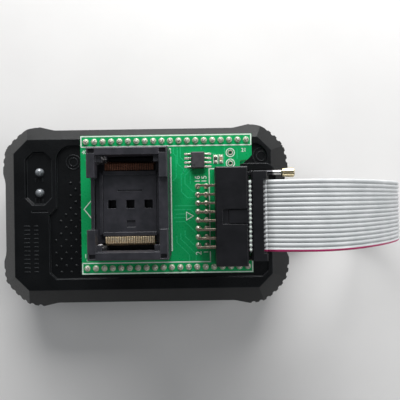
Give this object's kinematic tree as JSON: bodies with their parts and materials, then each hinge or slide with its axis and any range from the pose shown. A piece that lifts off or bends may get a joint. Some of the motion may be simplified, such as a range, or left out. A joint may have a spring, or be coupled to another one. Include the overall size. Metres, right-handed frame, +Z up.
{
  "type": "usb microcontroller programmer",
  "caption": "Rugged black USB chip programmer with a lever socket, carrying a green flash adapter with an open-top chip socket and a grey ribbon jumper back to its own port.",
  "frame": {"origin": "centre of the housing's outline on the surface its rubber feet stand on", "axes": "+X along the housing towards the ribbon loop, +Y towards the lever's side, +Z up"},
  "size_m": [0.1478, 0.0674, 0.0609],
  "materials": {
    "housing": "satin",
    "rubber": "matte",
    "dark_steel": "satin",
    "green_board": "gloss",
    "chip_black": "matte",
    "ferrite": "matte",
    "aluminium_can": "satin",
    "bright_steel": "polished",
    "white_plastic": "satin",
    "gold": "polished",
    "black_plastic": "satin",
    "led_lens": "gloss",
    "zif_plastic": "satin",
    "brass_knob": "polished",
    "solder": "polished",
    "ceramic_dark": "satin",
    "ceramic_tan": "satin",
    "socket_plastic": "satin",
    "ribbon_grey": "satin"
  },
  "bodies": {
    "programmer": {"bottom_shell": "housing", "top_shell": "housing", "rubber_feet": "rubber", "case_screws": "dark_steel", "main_board": "green_board", "zif_board": "green_board", "controller_chip": "chip_black", "logic_chip": "chip_black", "driver_chips": "chip_black", "power_inductor": "ferrite", "capacitors": "aluminium_can", "crystal": "bright_steel", "usb_shell": "bright_steel", "usb_insulator": "white_plastic", "usb_contacts": "gold", "link_sockets": "black_plastic", "link_headers": "black_plastic", "link_pins": "gold", "leds": "led_lens", "zif_base": "zif_plastic", "zif_contacts": "gold", "lower_board": "green_board", "upper_board": "green_board", "dip_pins": "gold", "dip_strips": "black_plastic", "socket_strips": "black_plastic", "socket_contacts": "gold", "header_strips": "black_plastic", "header_pins": "gold", "solder_joints": "solder", "supply_chip": "chip_black", "supply_chip_leads": "solder", "chip_resistor": "ceramic_dark", "chip_capacitor": "ceramic_tan", "tsop_base": "socket_plastic", "tsop_seat": "socket_plastic", "tsop_springs": "bright_steel", "adapter_header_shroud": "black_plastic", "adapter_header_pins": "gold", "isp_header_shroud": "black_plastic", "isp_header_pins": "gold", "ribbon_cable": "ribbon_grey", "adapter_plug_body": "black_plastic", "adapter_plug_contacts": "gold", "adapter_plug_cap": "black_plastic", "adapter_plug_clamp": "black_plastic", "adapter_ribbon_fold": "ribbon_grey", "isp_plug_body": "black_plastic", "isp_plug_contacts": "gold", "isp_plug_cap": "black_plastic", "isp_plug_clamp": "black_plastic", "isp_ribbon_fold": "ribbon_grey"},
    "zif_lever": {"zif_lever": "bright_steel", "zif_lever_knob": "brass_knob"},
    "zif_cover": {"zif_cover": "zif_plastic"},
    "tsop_cover": {"tsop_cover": "socket_plastic"},
    "tsop_rear_fingers": {"tsop_contacts_rear": "gold"},
    "tsop_front_fingers": {"tsop_contacts_front": "gold"}
  },
  "joints": [
    {"name": "zif_lever_turn", "type": "hinge", "parent": "programmer", "child": "zif_lever", "pos_m": [0.038, 0.0148, 0.0293], "axis": [0, -1, 0], "range_deg": [0, 85]},
    {"name": "zif_cover_slide", "type": "slide", "parent": "programmer", "child": "zif_cover", "axis": [1, 0, 0], "range_m": [0, 0.0008]},
    {"name": "tsop_cover_press", "type": "slide", "parent": "programmer", "child": "tsop_cover", "axis": [0, 0, -1], "range_m": [0, 0.0024], "stiffness_N_per_m": 2000, "springref_m": -0.0015, "deforming": ["tsop_springs"]},
    {"name": "tsop_rear_open", "type": "hinge", "parent": "programmer", "child": "tsop_rear_fingers", "pos_m": [0.00066, 0.0164, 0.0512], "axis": [-1, 0, 0], "range_deg": [0, 6]},
    {"name": "tsop_front_open", "type": "hinge", "parent": "programmer", "child": "tsop_front_fingers", "pos_m": [0.00066, -0.0068, 0.0512], "axis": [1, 0, 0], "range_deg": [0, 6]}
  ],
  "couplings": [
    {"joint": "zif_lever_turn", "follows": "zif_cover_slide", "rad_per_m": 1854},
    {"joint": "tsop_rear_open", "follows": "tsop_cover_press", "rad_per_m": 43.6},
    {"joint": "tsop_front_open", "follows": "tsop_cover_press", "rad_per_m": 43.6}
  ]
}
